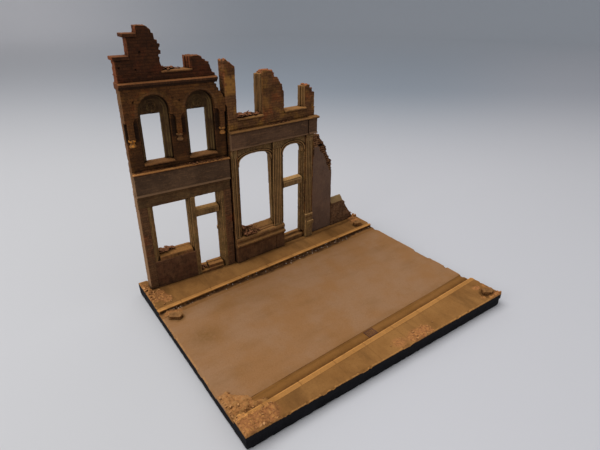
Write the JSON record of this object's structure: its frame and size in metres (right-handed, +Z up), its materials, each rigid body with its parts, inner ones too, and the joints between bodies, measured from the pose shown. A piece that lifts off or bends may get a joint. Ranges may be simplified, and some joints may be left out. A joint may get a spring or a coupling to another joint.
{
  "type": "miniature terrain ruin",
  "caption": "Scale street ruin for tabletop games: shop fronts with broken upper walls on a base with road, kerbs and pavements.",
  "frame": {"origin": "centre of the underside of the display board", "axes": "+X along the street to the right, +Y across the street towards the house fronts, +Z up"},
  "size_m": [0.26, 0.2, 0.2286],
  "materials": {
    "board_black": "black-painted display board, matt, with a ragged paint line",
    "road_earth": "cast plaster road painted mid brown, matt, fine speckle and dark washes",
    "gutter_ochre": "cast plaster gutter, dark ochre wash",
    "grate_iron": "dark purplish brown painted grate",
    "kerb_stone": "cast plaster kerb, tan edges over ochre brown",
    "pavement_ochre": "cast plaster pavement, golden ochre brown, matt",
    "brick": "cast brickwork painted dark red brown, dry-brushed orange tan on the edges",
    "carved_trim": "cast ledges, sills and copings, dry-brushed orange tan",
    "painted_frame": "cast window and door frames, olive brown with tan edges",
    "fascia_board": "cast shop boards, dark grey brown, smooth and matt",
    "render": "smooth dull purple-brown plaster render",
    "rubble": "broken brick and stone, orange brown with pale dust"
  },
  "bodies": {
    "root": {"base_board": "board_black", "road_surface": "road_earth", "near_gutter": "gutter_ochre", "far_gutter": "gutter_ochre", "drain_grate": "grate_iron", "far_kerb": "kerb_stone", "far_pavement": "pavement_ochre", "near_kerb": "kerb_stone", "near_pavement": "pavement_ochre", "left_end_pier": "brick", "left_stall_wall": "brick", "left_shop_sill": "carved_trim", "left_shop_frame": "painted_frame", "left_door_post": "painted_frame", "left_transom": "carved_trim", "left_door_jamb": "painted_frame", "left_latch_keep": "painted_frame", "left_door_step": "carved_trim", "left_door_pier": "brick", "left_lintel_band": "painted_frame", "left_fascia_board": "fascia_board", "left_fascia_ledge": "carved_trim", "left_upper_wall": "brick", "left_arcade": "brick", "left_window_frame_1": "painted_frame", "left_window_frame_2": "painted_frame", "left_window_sill_1": "carved_trim", "left_window_sill_2": "carved_trim", "left_corbels": "carved_trim", "left_cornice": "carved_trim", "left_gable_stack": "brick", "left_gable_parapet": "brick", "left_gable_pier": "brick", "left_gable_copings": "carved_trim", "left_gable_window_sill": "carved_trim", "right_stall": "fascia_board", "right_stall_ledges": "carved_trim", "right_party_pier": "brick", "right_middle_pier": "brick", "right_end_pier": "brick", "right_shop_sill": "carved_trim", "right_shop_arch": "painted_frame", "right_door_arch": "painted_frame", "right_transom": "carved_trim", "right_door_jamb": "painted_frame", "right_door_step": "carved_trim", "right_pilasters": "painted_frame", "right_pilaster_plinth": "carved_trim", "right_entablature_wall": "brick", "right_fascia_board": "fascia_board", "right_entablature_ledge": "carved_trim", "right_parapet": "brick", "right_upper_piers": "brick", "right_window_jambs": "painted_frame", "right_window_sills": "carved_trim", "side_wall": "render", "low_wall": "brick", "street_rubble": "rubble", "pavement_blocks": "rubble", "wall_rubble": "rubble"}
  },
  "joints": []
}
